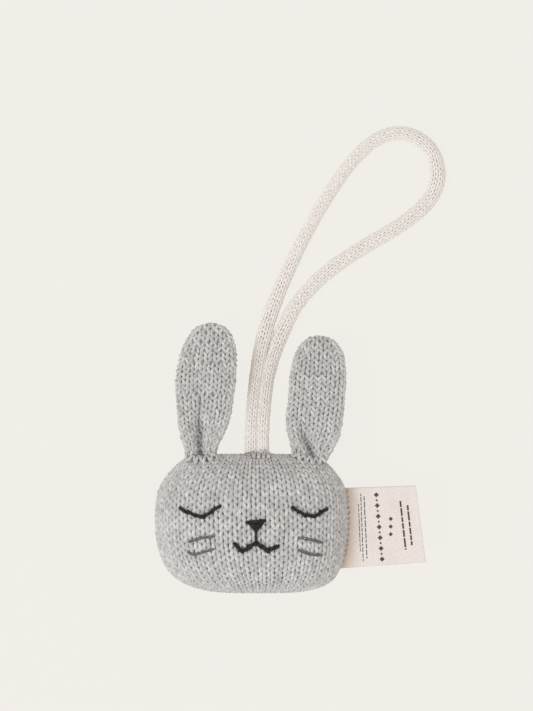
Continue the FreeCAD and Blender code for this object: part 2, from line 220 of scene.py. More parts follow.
def wool(name, light, dark, flecks, fleck_colour, shade, sheen=0.10, painted_shade_patch=None):
    """Spun wool: fibres run round the yarn with its twist, and its colour drifts along it.
    shade is the painted shade on its flanks, where one stitch shades the next.
    The last argument is a colour, and the middle, turn and half lengths of an oval patch of
    painted shade on the left edge of the loop."""
    parts = _, tree, _ = new_material(name)
    yarn = from_mesh(tree, "yarn")
    fibres = noise(tree, yarn, FIBRES)
    drift = noise(tree, yarn, DRIFT, detail=2.0)
    colour = mix(tree, calculated(tree, "ADD", fibres, drift), 0.78, 1.22, dark, light)
    specks = noise(tree, yarn, SPECKS, detail=1.0)
    colour = mix(tree, specks, 1 - flecks, 1.04 - flecks, colour, fleck_colour)
    # Painted shade: an oval tan patch darkens the left edge of the loop.
    if painted_shade_patch:
        painted_shade_colour, middle, turn, halves = painted_shade_patch
        place = node(tree, "ShaderNodeTexCoord").outputs["Object"]
        oval = node(tree, "ShaderNodeMapping",
                    {"Vector": place, "Location": middle, "Rotation": (0, 0, turn),
                     "Scale": halves}, vector_type="TEXTURE").outputs["Vector"]
        away = calculated(tree, "LENGTH", oval, (0, 0, 0), "VectorMath", "Value")
        colour = mix(tree, away, 0.25, 1.1, painted_shade_colour, colour)
    # Painted shade on the flanks of the yarn: the colour turns to shade where the crown falls.
    crown = from_mesh(tree, "crown", "Fac")
    colour = mix(tree, crown, -0.3, 0.65, shade, colour)
    settings = {"Roughness": 0.9, "Specular IOR Level": 0.15, "Sheen Weight": sheen,
                "Sheen Roughness": 0.6}
    return finished(parts, colour, settings, fibres, 0.6, 0.12 * MM)


def lining(name, colour, shade):
    """The inside of the fabric, seen only as the dark between the stitches."""
    parts = _, tree, _ = new_material(name)
    patch = noise(tree, from_mesh(tree, "yarn"), (900, 900, 900))
    colour = mix(tree, patch, 0.3, 0.7, shade, colour)
    return finished(parts, colour, {"Roughness": 1}, patch, 0.6, 0.3 * MM)


def cotton(name, light, dark, edge):
    """Fine tape, woven across and along. Painted shade darkens it where it comes out of the seam,
    next to the head.
    """
    parts = _, tree, _ = new_material(name)
    place = from_mesh(tree, "yarn")
    weave = calculated(tree, "ADD", noise(tree, place, WEFT, detail=2.0),
                       noise(tree, place, WARP, detail=2.0))
    colour = mix(tree, weave, 0.8, 1.2, dark, light)
    colour = mix(tree, noise(tree, place, BLOTCHES), 0.48, 0.75, colour, dark)
    # Painted shade where the tape comes out of the seam: the edge colour, with a ragged border,
    # covers the part nearest the head.
    out = node(tree, "ShaderNodeSeparateXYZ", {"Vector": place}).outputs["X"]
    ragged = calculated(tree, "MULTIPLY", noise(tree, place, RAGGED), 6 * MM)
    colour = mix(tree, calculated(tree, "ADD", out, ragged), 5 * MM, 13 * MM, edge, colour)
    settings = {"Roughness": 0.95, "Specular IOR Level": 0.15, "Sheen Weight": 0.2}
    return finished(parts, colour, settings, weave, 0.5, 0.15 * MM)


def plain(name, light, dark, roughness, grain=0.5 * MM):
    """One substance with a faint mottle."""
    parts = _, tree, _ = new_material(name)
    place = node(tree, "ShaderNodeTexCoord").outputs["Object"]
    mottle = noise(tree, place, (1 / grain, 1 / grain, 1 / grain))
    colour = mix(tree, mottle, 0.3, 0.7, dark, light)
    return finished(parts, colour, {"Roughness": roughness}, mottle, 0.15, 0.1 * grain)


# Light and dark colour, share and colour of the flecks, painted shade on the flanks, sheen and a
# patch of painted shade.
WOOLS = {
    "grey_wool": ((0.69, 0.676, 0.685), (0.385, 0.378, 0.38), 0.30, (0.20, 0.195, 0.19),
                  (0.43, 0.42, 0.412)),
    "cream_wool": ((0.86, 0.84, 0.82), (0.74, 0.70, 0.675), 0.0, (0.74, 0.70, 0.675),
                   (0.66, 0.57, 0.50), 0.10,
                   # The cream wool's oval patch of painted shade on the left edge of the loop.
                   ((0.63, 0.55, 0.49), (-1.6 * MM, 72 * MM, 8 * MM), -0.16,
                    (3.2 * MM, 19 * MM, 30 * MM))),
    "charcoal_wool": ((0.031, 0.029, 0.032), (0.007, 0.007, 0.008), 0.32, (0.15, 0.15, 0.16),
                      (0.005, 0.005, 0.006), 0.05),
    "slate_wool": ((0.20, 0.20, 0.205), (0.085, 0.085, 0.09), 0.30, (0.32, 0.32, 0.33),
                   (0.06, 0.06, 0.063), 0.15),
    "tan_thread": ((0.55, 0.46, 0.37), (0.36, 0.29, 0.23), 0.30, (0.66, 0.57, 0.48),
                   (0.22, 0.17, 0.13)),
}
# Light colour and darker mottle. The cream lining's tan is painted shade, for the shade in the
# gaps between the cord's stitches.
LININGS = {
    "grey_lining": ((0.72, 0.705, 0.69), (0.58, 0.57, 0.56)),
    "cream_lining": ((0.72, 0.57, 0.46), (0.58, 0.45, 0.35)),
}
# Light and dark colour, and the painted shade where the tape comes out of the seam.
COTTONS = {"label_cotton": ((0.80, 0.755, 0.735), (0.70, 0.65, 0.625), (0.60, 0.48, 0.41))}
# Light and dark colour, roughness and the size of the grain.
PLAIN = {
    "label_ink": ((0.055, 0.04, 0.035), (0.11, 0.085, 0.075), 0.85),
    "fibrefill": ((0.88, 0.88, 0.86), (0.74, 0.74, 0.72), 1.0, 1.2 * MM),
    "rattle_plastic": ((0.84, 0.84, 0.82), (0.80, 0.80, 0.78), 0.5),
    "bead_plastic": ((0.68, 0.10, 0.07), (0.60, 0.08, 0.055), 0.22),
}
MATERIALS = {}
for make, looks in ((wool, WOOLS), (lining, LININGS), (cotton, COTTONS), (plain, PLAIN)):
    for name, look in looks.items():
        MATERIALS[name] = make(name, *look)

# ---------------- lines and tables of points


def unit(vectors):
    return vectors / np.maximum(np.linalg.norm(vectors, axis=-1, keepdims=True), 1e-12)


def smooth_step(value):
    value = np.clip(value, 0, 1)
    return value * value * (3 - 2 * value)


def powered(value, power):
    """The size of each value raised to a power, with the value's own sign."""
    return np.sign(value) * np.abs(value) ** power


def part_way(first, last, share):
    return first + (last - first) * share


def left_of(ahead):
    """The directions to the left of some directions in the plane."""
    return np.stack([-ahead[..., 1], ahead[..., 0]], axis=-1)


def distances(line):
    """How far along a line each of its points is."""
    return np.concatenate([[0], np.cumsum(np.linalg.norm(np.diff(line, axis=0), axis=1))])


def evened(line, count):
    """The same line as count points, evenly spaced."""
    reached = distances(line)
    wanted = np.linspace(0, reached[-1], count)
    return np.stack([np.interp(wanted, reached, column) for column in line.T], 1)


def curve_through(points, count):
    """A smooth curve through a few points, evenly spaced along its length."""
    before = 2 * points[0] - points[1]
    after = 2 * points[-1] - points[-2]
    padded = np.concatenate([[before], points, [after]])
    spans = len(points) - 1
    dense = []
    for k in range(spans):
        a, b, c, d = padded[k:k + 4]
        t = np.linspace(0, 1, 24, endpoint=k == spans - 1)[:, None]
        dense.append(0.5 * (2 * b + (c - a) * t + (2 * a - 5 * b + 4 * c - d) * t ** 2
                            + (3 * b - a - 3 * c + d) * t ** 3))
    return evened(np.concatenate(dense), count)


def rim(table):
    """What lies along the edge of a table, once round."""
    return np.concatenate([table[0, :-1], table[:-1, -1], table[-1, :0:-1], table[:0:-1, 0]])


def squares(numbers):
    """The faces of a sheet whose points have the numbers in a table."""
    corners = (numbers[:-1, :-1], numbers[:-1, 1:], numbers[1:, 1:], numbers[1:, :-1])
    return np.stack(corners, axis=-1).reshape(-1, 4)


def tube_faces(count, sides, closed):
    """The faces of a tube of count rings. An open one's flat ends are filled with quads."""
    numbers = np.arange(count * sides).reshape(count, sides)
    quads = squares(np.pad(numbers, ((0, int(closed)), (0, 1)), "wrap"))
    if closed:
        return quads
    end = np.array([(k + 1, k, sides - 1 - k, sides - 2 - k) for k in range(sides // 2 - 1)])
    return np.concatenate([quads, end, end[:, ::-1] + (count - 1) * sides])


# ---------------- yarn

PLIES = 2
TUBE_GAP = 0.4 * MM
# A yarn's radius, how many sides its tube has, the length of one turn of its twist, and how deep
# the grooves between its plies are, in parts of its radius.
Yarn = namedtuple("Yarn", "radius sides lay groove", defaults=(9 * MM, 0.10))


class Fabric:
    """Tubes of yarn and the sheets under them, gathered into one mesh. Each point has a place
    in the yarn and a crown: 1 on top of the yarn, -1 below it."""

    def __init__(self):
        self.parts = []
        self.total = 0
        self.length = 0.0

    def add(self, points, yarn_space, quads, slot, crown=None):
        crown = np.ones(len(points)) if crown is None else crown
        slots = np.full(len(quads), slot)
        self.parts.append((points, yarn_space, crown, quads + self.total, slots))
        self.total += len(points)

    def tube(self, line, up, yarn, swell=1.0, closed=False):
        """One yarn along a line. up points away from the fabric, and swell is how thick the yarn
        is at each point, in parts of its own thickness."""
        if closed:
            tangent = unit(np.roll(line, -1, axis=0) - np.roll(line, 1, axis=0))
        else:
            tangent = unit(np.gradient(line, axis=0))
        side = unit(np.cross(tangent, up))
        lift = np.cross(side, tangent)
        along = distances(line) + self.length
        self.length = along[-1] + TUBE_GAP
        angle = TURN * np.arange(yarn.sides) / yarn.sides
        spun = angle[None] - TURN * along[:, None] / yarn.lay
        radius = yarn.radius * np.asarray(swell).reshape(-1, 1)
        reach = radius * (1 + yarn.groove * np.cos(PLIES * spun))
        outward = np.cos(angle)[:, None] * side[:, None] + np.sin(angle)[:, None] * lift[:, None]
        points = line[:, None] + reach[..., None] * outward
        space = [reach * np.cos(spun), reach * np.sin(spun), along[:, None] + 0 * reach]
        faces = tube_faces(len(line), yarn.sides, closed)
        # The crown sets where the painted shade on the yarn's flanks falls.
        crown = np.tile(np.sin(angle), len(line))
        self.add(points.reshape(-1, 3), np.stack(space, -1).reshape(-1, 3), faces, 0, crown)

    def sheet(self, outer, inner, slot, space=None):
        """A closed skin between two tables of points, one behind the other."""
        numbers = np.arange(outer[..., 0].size).reshape(outer.shape[:2])
        face = squares(numbers)
        edge = rim(numbers)
        after = np.roll(edge, -1)
        side = np.stack([after, edge, edge + numbers.size, after + numbers.size], axis=-1)
        points = np.concatenate([outer.reshape(-1, 3), inner.reshape(-1, 3)])
        space = points if space is None else np.concatenate([space.reshape(-1, 3)] * 2)
        self.add(points, space, np.concatenate([face, face[:, ::-1] + numbers.size, side]), slot)

    def core(self, table, slot):
        """A closed body inside a knitted tube. The table's last column repeats its first."""
        points = table[:, :-1].reshape(-1, 3)
        self.add(points, points, tube_faces(len(table), table.shape[1] - 1, False), slot)

    def piece(self, name, *materials):
        """The finished mesh as an object."""
        points, space, crown, quads, slots = (np.concatenate(part) for part in zip(*self.parts))
        mesh = bpy.data.meshes.new(name)
        mesh.vertices.add(len(points))
        mesh.vertices.foreach_set("co", points.astype(np.float32).ravel())
        mesh.loops.add(quads.size)
        mesh.loops.foreach_set("vertex_index", quads.astype(np.int32).ravel())
        mesh.polygons.add(len(quads))
        mesh.polygons.foreach_set("loop_start", np.arange(0, quads.size, 4, dtype=np.int32))
        mesh.polygons.foreach_set("material_index", slots.astype(np.int32))
        mesh.update(calc_edges=True)
        mesh.shade_smooth()
        attribute = mesh.attributes.new("yarn", "FLOAT_VECTOR", "POINT")
        attribute.data.foreach_set("vector", space.astype(np.float32).ravel())
        attribute = mesh.attributes.new("crown", "FLOAT", "POINT")
        attribute.data.foreach_set("value", crown.astype(np.float32))
        for material in materials:
            mesh.materials.append(MATERIALS[material])
        return new_object(name, mesh)


# ---------------- knitting


class Surface:
    """A smooth surface to knit over, as a table of points: rows run along the wales, columns
    go across them. across runs from 0 to 1, and height from 0 to the number of courses."""

    def __init__(self, table, courses, closed):
        self.table = table
        self.courses = courses
        self.closed = closed
        up = np.gradient(table, axis=0)
        right = np.gradient(table, axis=1)
        if closed:
            right[:, 0] = right[:, -1] = table[:, 1] - table[:, -2]
        self.normals = unit(np.cross(right, up))
        if not closed:
            self.steady_corners()

    def steady_corners(self):
        """Rows and columns run side by side at the corners, so their normals come from inside."""
        reach = 4
        ends = ((slice(0, reach), reach), (slice(-reach, None), -reach - 1))
        for rows, row in ends:
            for columns, column in ends:
                self.normals[rows, columns] = self.normals[row, column]

    def place(self, across, height, rise):
        """Points of the surface, lifted by rise, and the directions away from it."""
        rows, columns = self.table.shape[:2]
        x = across % 1 if self.closed else across
        x = x * (columns - 1)
        y = height / self.courses * (rows - 1)
        left = np.clip(np.floor(x).astype(int), 0, columns - 2)
        low = np.clip(np.floor(y).astype(int), 0, rows - 2)
        x, y = (x - left)[:, None], (y - low)[:, None]

        def read(table):
            bottom = table[low, left] * (1 - x) + table[low, left + 1] * x
            top = table[low + 1, left] * (1 - x) + table[low + 1, left + 1] * x
            return bottom * (1 - y) + top * y

        normals = unit(read(self.normals))
        return read(self.table) + normals * np.asarray(rise).reshape(-1, 1), normals

    def moved(self, rise):
        """The table, lifted by rise."""
        return self.table + self.normals * rise

    def sunk(self, depth):
        """The surface that lies this deep inside this one."""
        return Surface(self.moved(-depth), self.courses, self.closed)


# One knit stitch: how many steps its line is made in, how far its sides lean and its head reaches,
# in parts of its width and height, its depth, and how uneven it is.
Stitch = namedtuple("Stitch", "steps lean reach depth uneven",
                    defaults=(0.21, 0.80, 0.75 * MM, 1.0))
# How much the yarn thins and swells over a stitch.
PLUMP = 0.10


def course(fabric, surface, row, count, stitch, yarn, chance, thickness=1.0):
    """Lays one course of count stitches, each a loop that leans out at its head. thickness is
    how thick the yarn is in this course, in parts of its own thickness."""
    closed = surface.closed
    turns = np.arange(count * stitch.steps + (0 if closed else 1)) / stitch.steps
    angle = TURN * (turns - 0.5)

    def vary(amount):
        """A value for each stitch that drifts smoothly to the next."""
        values = chance.normal(0, amount * stitch.uneven, count + 2)
        if closed:
            values[count:] = values[:2]
        return np.interp(turns, np.arange(count + 2), values)

    lean = stitch.lean * (1 + vary(0.10))
    reach = stitch.reach * (1 + vary(0.05))
    across = (turns + lean * np.sin(2 * angle) + vary(0.035)) / count
    height = row + 0.5 + reach * np.cos(angle) + vary(0.045)
    rise = -stitch.depth * np.cos(2 * angle) + vary(0.10 * MM)
    line, normal = surface.place(across, height, rise)
    swell = (1 - PLUMP * np.cos(2 * angle)) * (1 + vary(0.045)) * thickness
    fabric.tube(line, normal, yarn, swell, closed)


# ---------------- the hanging loop

# The cord leaves the crown, rises over the seam, lies along the surface, turns and comes back.
CORD_ROUTE = [
    (-0.2, 32.6, 21.6), (-0.2, 37.8, 21.5), (-0.2, 46, 20.2), (0.7, 57, 14),
    (2, 70, 6.2), (4.4, 84, 3.1), (8, 99, 3.1), (15.4, 118, 3.1),
    (26, 140, 3.1), (36.3, 158, 3.1), (47.4, 174.6, 3.1), (60.5, 187.3, 3.1),
    (74.2, 190.6, 3.1), (86.6, 184.2, 3.1), (92, 171.3, 3.1), (88.5, 157.5, 3.1),
    (73.6, 144.6, 3.1), (56.5, 135.2, 3.1), (36.6, 122.2, 3.1), (22, 107, 3.1),
    (16.2, 95.5, 3.1), (11.4, 84, 3.1), (7.6, 70, 6.2), (6.2, 57, 14),
    (5.3, 46, 20.2), (5.3, 37.8, 21.5), (5.3, 32.6, 21.6),
]
CORD_WALES = 8
CORD_COURSE = 2.4 * MM
CORD_YARN = Yarn(radius=0.54 * MM, sides=6, lay=6 * MM, groove=0.08)
CORD_STITCH = Stitch(steps=12, lean=0.20, reach=0.94, depth=0.34 * MM, uneven=0.8)
CORD_SKIN = CORD_STITCH.depth + CORD_YARN.radius
CORD_SEWING_YARN = Yarn(radius=0.45 * MM, sides=6, lay=5 * MM, groove=0.12)
CORD_HALF_HEIGHT = 2.85 * MM
# The legs lie together up to the first distance and are parted from the second one on. The cord's
# section has a fullness in each state: 2 is an ellipse, and more is squarer.
LEGS_TOGETHER, LEGS_PARTED = 55 * MM, 95 * MM
FULLNESS_TOGETHER, FULLNESS_PARTED = 2.7, 2.1
# How far the cord's knitting turns to and fro about it, in radians, and over what length.
CORD_DRIFT = 0.40
CORD_DRIFT_LENGTH = 0.21
# The stitches that join the legs: where they lie up the loop, how far inside each leg's middle
# they start, how high they lie and how far they arch.
JOINS = np.arange(41, 94, 5.5) * MM
JOIN_INSET, JOIN_RISE, JOIN_ARCH = 1.7 * MM, 1.2 * MM, 0.75 * MM
# Distance along the cord and half its width there: it lies flatter in some places.
CORD_HALF_WIDTHS = np.array([
    (0, 3.25), (40, 3.4), (60, 3.85), (75, 4), (93, 3.7), (118, 3.4), (158, 3.4),
    (190, 3.6), (218, 4), (253, 3.7), (285, 3.85), (317, 3.7), (331, 3.9), (350, 3.4),
    (395, 3.25),
]) * MM


def centreline(route):
    """Points along the smooth curve that a route's points control."""
    data = bpy.data.curves.new("cord_line", "CURVE")
    data.dimensions = "3D"
    data.resolution_u = 16
    spline = data.splines.new("NURBS")
    spline.points.add(len(route) - 1)
    for point, place in zip(spline.points, route):
        point.co = (*(value * MM for value in place), 1)
    spline.order_u = 3
    spline.use_endpoint_u = True
    curve = new_object("cord_line", data)
    graph = bpy.context.evaluated_depsgraph_get()
    mesh = bpy.data.meshes.new_from_object(curve.evaluated_get(graph), depsgraph=graph)
    line = np.array([vertex.co for vertex in mesh.vertices])
    bpy.data.meshes.remove(mesh)
    bpy.data.objects.remove(curve)
    return line


def turned(ring, share):
    """A closed ring of points, its start moved along by a share of its length."""
    numbers = np.arange(len(ring))
    where = (numbers + share * numbers[-1]) % numbers[-1]
    return np.stack([np.interp(where, numbers, column) for column in ring.T], 1)


def cord_table(line, rows, columns):
    """The outside of the cord: a flattened tube, squarer where its two legs lie together."""
    line = evened(line, rows)
    along = np.linspace(0, distances(line)[-1], rows)
    half_width = np.interp(along, *CORD_HALF_WIDTHS.T)
    parted = np.minimum(along, along[-1] - along) - LEGS_TOGETHER
    openness = smooth_step(parted / (LEGS_PARTED - LEGS_TOGETHER))
    ahead = unit(np.gradient(line, axis=0))
    right = unit(np.cross(ahead, (0, 0, 1)))
    up = np.cross(right, ahead)
    drift = CORD_DRIFT * np.sin(TURN * along / CORD_DRIFT_LENGTH + 0.8) * openness
    angle = np.linspace(math.pi, -math.pi, columns * 4 + 1)
    rings = []
    for k, power in enumerate(2 / part_way(FULLNESS_TOGETHER, FULLNESS_PARTED, openness)):
        across = half_width[k] * powered(np.cos(angle), power)
        lift = CORD_HALF_HEIGHT * powered(np.sin(angle), power)
        ring = line[k] + across[:, None] * right[k] + lift[:, None] * up[k]
        rings.append(turned(evened(ring, len(angle)), drift[k] / TURN)[::4])
    return np.array(rings)


def knit_cord(line, chance):
    """The hanging loop: one long knitted tube."""
    courses = round(distances(line)[-1] / CORD_COURSE)
    surface = Surface(cord_table(line, courses * 3 + 1, 24), courses, True).sunk(CORD_SKIN)
    fabric = Fabric()
    for row in range(courses):
        course(fabric, surface, row, CORD_WALES, CORD_STITCH, CORD_YARN, chance)
    # This core carries the cream lining, painted a tan shade that shows in the gaps between the
    # stitches.
    fabric.core(surface.moved(-0.3 * MM)[::3, ::2], 1)
    return surface, fabric.piece("hanging_cord_knit", "cream_wool", "cream_lining")


def join_legs(line, chance):
    """Small stitches, sunk between the two legs of the loop, that hold them side by side."""
    fabric = Fabric()
    middle = (len(line) - 1) // 2
    legs = line[:middle], line[:middle:-1]
    angle = np.linspace(0, math.pi, 13)
    for y in JOINS:
        left, right = (leg[np.argmin(abs(leg[:, 1] - y))] for leg in legs)
        half = (right - left) / 2 - unit(right - left) * JOIN_INSET
        path = (left + right) / 2 - np.cos(angle)[:, None] * half
        path[:, 2] += JOIN_RISE + JOIN_ARCH * np.sin(angle)
        path[:, 1] += np.linspace(-0.8, 0.8, len(angle)) * MM + chance.normal(0, 0.3 * MM)
        fabric.tube(path, (0, 1, 0.2), CORD_SEWING_YARN)
    return fabric.piece("loop_joining_stitches", "cream_wool")


# ---------------- the head's form

SEAM_HEIGHT = 22 * MM
# Rings across the head: distance from the middle, half the width and depth, shift to the right.
HEAD_STATIONS = np.array([
    (-34.1, 0, 0, 3), (-33.9, 15, 3.4, 3), (-32.4, 26.8, 8, 2.8),
    (-28.6, 36.2, 13.6, 2.1), (-22.6, 41.8, 18.8, 1), (-13, 45.4, 22.8, 0.25),
    (-2, 46.8, 24, 0), (9, 46.6, 23.4, 0), (18, 44.7, 20.8, 0.25),
    (26, 39.2, 15.8, 0.5), (31.4, 32.8, 9.6, 0.5), (33.2, 25.6, 4.4, 0.4),
    (33.6, 13, 1.8, 0.2), (33.7, 0, 0, 0.1),
]) * MM
HEAD_WALES = 26
HEAD_COURSES = 29
HEAD_FULLNESS = 2.25
CORNER_POWER = 1.25
# Draws the corners round towards the crown and the chin, so that the wales bow like the sides.
CORNER_TURN = 0.17
ROUNDS_OF_EVENING = 6
CLEAR_OF_GROUND = 0.1 * MM
SHOULDER = 1.2 * MM
# The filling's pressure is simulated at a larger scale, where Blender's cloth is stable.
SIMULATED_SCALE = 30
SIMULATED_FRAMES = 20
FILLING_PRESSURE = 6.0
UNSTUFFED = 0.94
MOST_SWELL = 1.6 * MM
HEAD_YARN = Yarn(radius=0.94 * MM, sides=8)
HEAD_STITCH = Stitch(steps=16)
# The yarn is drawn thinner in the narrow courses at the crown and the chin, to this share.
THINNEST = 0.72
LINING_DEPTHS = (0.55 * MM, 1.3 * MM)
HEAD_SKIN = HEAD_STITCH.depth + HEAD_YARN.radius


def head_panel(side):
    """The front (side 1) or back (side -1) of the head, as a table of points on its fabric.

    A square of knitting is drawn over a rounded dome: its corners lie on the outline, and
    evening its rows and columns in turn spreads the stitches as they settle over filling."""
    columns, rows = HEAD_WALES * 4 + 1, HEAD_COURSES * 4 + 1
    right, up = np.meshgrid(np.linspace(-1, 1, columns), np.linspace(-1, 1, rows))
    across = right * np.sqrt(1 - up ** 2 / 2)
    along = up * np.sqrt(1 - right ** 2 / 2)
    reach, bearing = np.hypot(across, along), np.arctan2(along, across)
    bearing = bearing + CORNER_TURN * reach ** 2 * np.sin(2 * bearing)
    across, along = reach * np.cos(bearing), reach * np.sin(bearing)
    dome = np.sqrt(np.clip(1 - across ** 2 - along ** 2, 0, 1))
    share = powered(np.arcsin(np.clip(along, -1, 1)) / (math.pi / 2), CORNER_POWER)
    rings = curve_through(HEAD_STATIONS, 400)
    where = (share + 1) / 2 * (len(rings) - 1)
    y, half_width, half_depth, right_by = (np.interp(where, np.arange(len(rings)), column)
                                           for column in rings.T)
    angle = np.arctan2(dome, across)
    power = 2 / HEAD_FULLNESS
    x = right_by + half_width * powered(np.cos(angle), power)
    z = SEAM_HEIGHT + side * half_depth * np.abs(np.sin(angle)) ** power
    table = np.stack([x, y, z], axis=-1)
    for _ in range(ROUNDS_OF_EVENING):
        table = np.stack([evened(line, columns) for line in table])
        table = np.stack([evened(line, rows) for line in table.swapaxes(0, 1)]).swapaxes(0, 1)
    return table if side > 0 else table[:, ::-1]


def between_points(table):
    """The table with the middle of each pair of rows added between them."""
    full = np.repeat(table, 2, axis=0)[:-1]
    full[1::2] = (table[:-1] + table[1:]) / 2
    return full


def swollen_points(points, faces, seam):
    """Where the points of a mesh go when the filling's pressure swells it and its seam is held."""
    scene = bpy.context.scene
    mesh = bpy.data.meshes.new("stuffing_run")
    mesh.from_pydata((points * SIMULATED_SCALE).tolist(), [], faces.tolist())
    cover = new_object("stuffing_run", mesh)
    held = cover.vertex_groups.new(name="seam")
    held.add(seam.tolist(), 1.0, "REPLACE")
    cloth = cover.modifiers.new("cloth", "CLOTH")
    cloth.settings.vertex_group_mass = "seam"
    cloth.settings.quality = 6
    cloth.settings.use_pressure = True
    cloth.settings.uniform_pressure_force = FILLING_PRESSURE
    cloth.settings.effector_weights.gravity = 0
    cloth.collision_settings.use_collision = False
    cloth.point_cache.frame_start = 1
    cloth.point_cache.frame_end = SIMULATED_FRAMES
    for number in range(1, SIMULATED_FRAMES + 1):
        scene.frame_set(number)
    graph = bpy.context.evaluated_depsgraph_get()
    swollen = cover.evaluated_get(graph).data
    found = np.array([vertex.co for vertex in swollen.vertices]) / SIMULATED_SCALE
    bpy.data.objects.remove(cover)
    scene.frame_set(1)
    return found


def stuffed(panels):
    """Swells the head's panels under the pressure of the filling, by cloth simulation with their
    seam held. They start a little flat, and no point moves further than MOST_SWELL."""
    starts = np.stack([table[::2, ::2] for table in panels])
    starts[..., 2] = SEAM_HEIGHT + (starts[..., 2] - SEAM_HEIGHT) * UNSTUFFED
    numbers = np.arange(starts[..., 0].size).reshape(starts.shape[:3])
    points = starts.reshape(-1, 3)
    faces = np.concatenate([squares(grid) for grid in numbers])
    seam = np.concatenate([rim(grid) for grid in numbers])
    moved = swollen_points(points, faces, seam) - points
    size = np.linalg.norm(moved, axis=1, keepdims=True)
    moved = (moved * np.minimum(1, MOST_SWELL / np.maximum(size, 1e-9))).reshape(starts.shape)
    results = []
    for table, start, swell in zip(panels, starts, moved):
        shift = start + swell - table[::2, ::2]
        for _ in range(3):
            shift[1:-1] = (shift[:-2] + 2 * shift[1:-1] + shift[2:]) / 4
            shift[:, 1:-1] = (shift[:, :-2] + 2 * shift[:, 1:-1] + shift[:, 2:]) / 4
        results.append(table + between_points(between_points(shift).swapaxes(0, 1)).swapaxes(0, 1))
    return results


def settle(table, lowest):
    """Flattens the underside where it rests, with a soft shoulder."""
    over = (table[..., 2] - lowest) / SHOULDER
    table[..., 2] = lowest + SHOULDER * np.logaddexp(0, over)
    return table


def knit_panel(name, panel, chance):
    """One half of the head, knitted in stocking stitch and lying no lower than the ground."""
    outer = Surface(panel, HEAD_COURSES, closed=False)
    table = settle(outer.moved(-HEAD_SKIN), HEAD_SKIN + CLEAR_OF_GROUND)
    surface = Surface(table, HEAD_COURSES, closed=False)
    fabric = Fabric()
    widths = np.linalg.norm(np.diff(table[2::4], axis=1), axis=2).sum(1)
    thicknesses = np.clip(1.06 * widths / widths.max(), THINNEST, 1)
    for row, thickness in enumerate(thicknesses):
        course(fabric, surface, row, HEAD_WALES, HEAD_STITCH, HEAD_YARN, chance, thickness)
    front, back = (surface.moved(-depth)[::2, ::2] for depth in LINING_DEPTHS)
    fabric.sheet(front, back, 1)
    return surface, fabric.piece(name, "grey_wool", "grey_lining")


# ---------------- the ears' form

EAR_DROOP = math.radians(12)
EAR_SINK = 0.33
# How round the ear's edge is, 1 being round, and the rounding at the bottom of its pleat.
EAR_EDGE = 0.85
PLEAT_BOTTOM = 0.5 * MM
EAR_WALE = 3.6 * MM
EAR_COURSE = 2.6 * MM
EAR_YARN = Yarn(radius=0.73 * MM, sides=10)
EAR_STITCH = Stitch(steps=15, lean=0.25, reach=0.88, depth=0.66 * MM, uneven=1.3)
EAR_SKIN = EAR_STITCH.depth + EAR_YARN.radius
# Each ear's root. Its sections: distance from the hinge line, shift to the side, half its width
# and half its thickness. Its folds: the same distance, the pleat's shift to the side, depth and
# spread, all in millimetres, and how far each edge is cupped forward, in radians.
EARS = {
    "left_ear": ((-24.6 * MM, 39.2 * MM, 24 * MM), np.array([
        (-9.6, 0.3, 6.6, 2.6), (-5.6, 0.2, 7.4, 3.2), (-1.2, 0.2, 8.6, 3.3),
        (2.9, 0.8, 10.4, 3.4), (8, 1.2, 12, 3.5), (14, 1.7, 13.2, 3.6),
        (21.3, 2, 14.1, 3.6), (31.5, 2.4, 15, 3.4), (43.8, 3.6, 14, 3.2),
        (50, 4.3, 12.2, 3), (54.4, 4.7, 9.7, 2.8), (57.2, 4.8, 6.6, 2.6),
        (58.3, 4.8, 3.7, 2.3), (58.7, 4.8, 1.6, 2),
    ]) * MM, np.array([
        (-10, -0.2, 4.6, 1.2, 0.75), (-4, -0.4, 5.2, 1.4, 0.75), (2, -0.9, 5.4, 1.9, 0.65),
        (8, -1.6, 4.8, 2.6, 0.45), (14, -2.2, 2.6, 3.2, 0.3), (22, -2.4, 0.9, 4.5, 0.15),
        (32, -2.4, 0, 4.5, 0),
    ])),
    "right_ear": ((29.7 * MM, 39.2 * MM, 24 * MM), np.array([
        (-9.9, -0.6, 6.9, 2.4), (-7.4, -0.6, 8.5, 3.2), (-4.2, -0.3, 9.9, 3.4),
        (-1.2, 0.1, 11.1, 3.5), (2.9, 0.4, 12.5, 3.6), (8, 0.4, 13.8, 3.6),
        (13.5, 0.9, 14.2, 3.6), (21.3, 1.7, 14.1, 3.6), (31.5, 2.4, 14, 3.4),
        (40.8, 2.9, 12.9, 3.2), (46, 3.1, 11, 3), (49.6, 3.2, 8.3, 2.8),
        (51.4, 3.2, 5.6, 2.5), (52.2, 3.2, 3, 2.2), (52.4, 3.2, 1.5, 2),
    ]) * MM, np.array([
        (-10, 0.8, 1.8, 1.2, 0.6), (-5, -0.6, 5, 1.4, 0.6), (-1.2, -2.8, 5.4, 1.9, 0.5),
        (2.4, -4.6, 3.8, 2.4, 0.4), (7, -6.2, 1, 3, 0.25), (12, -7.5, 0, 3.4, 0.1),
        (24, -8, 0, 3, 0),
    ])),
}


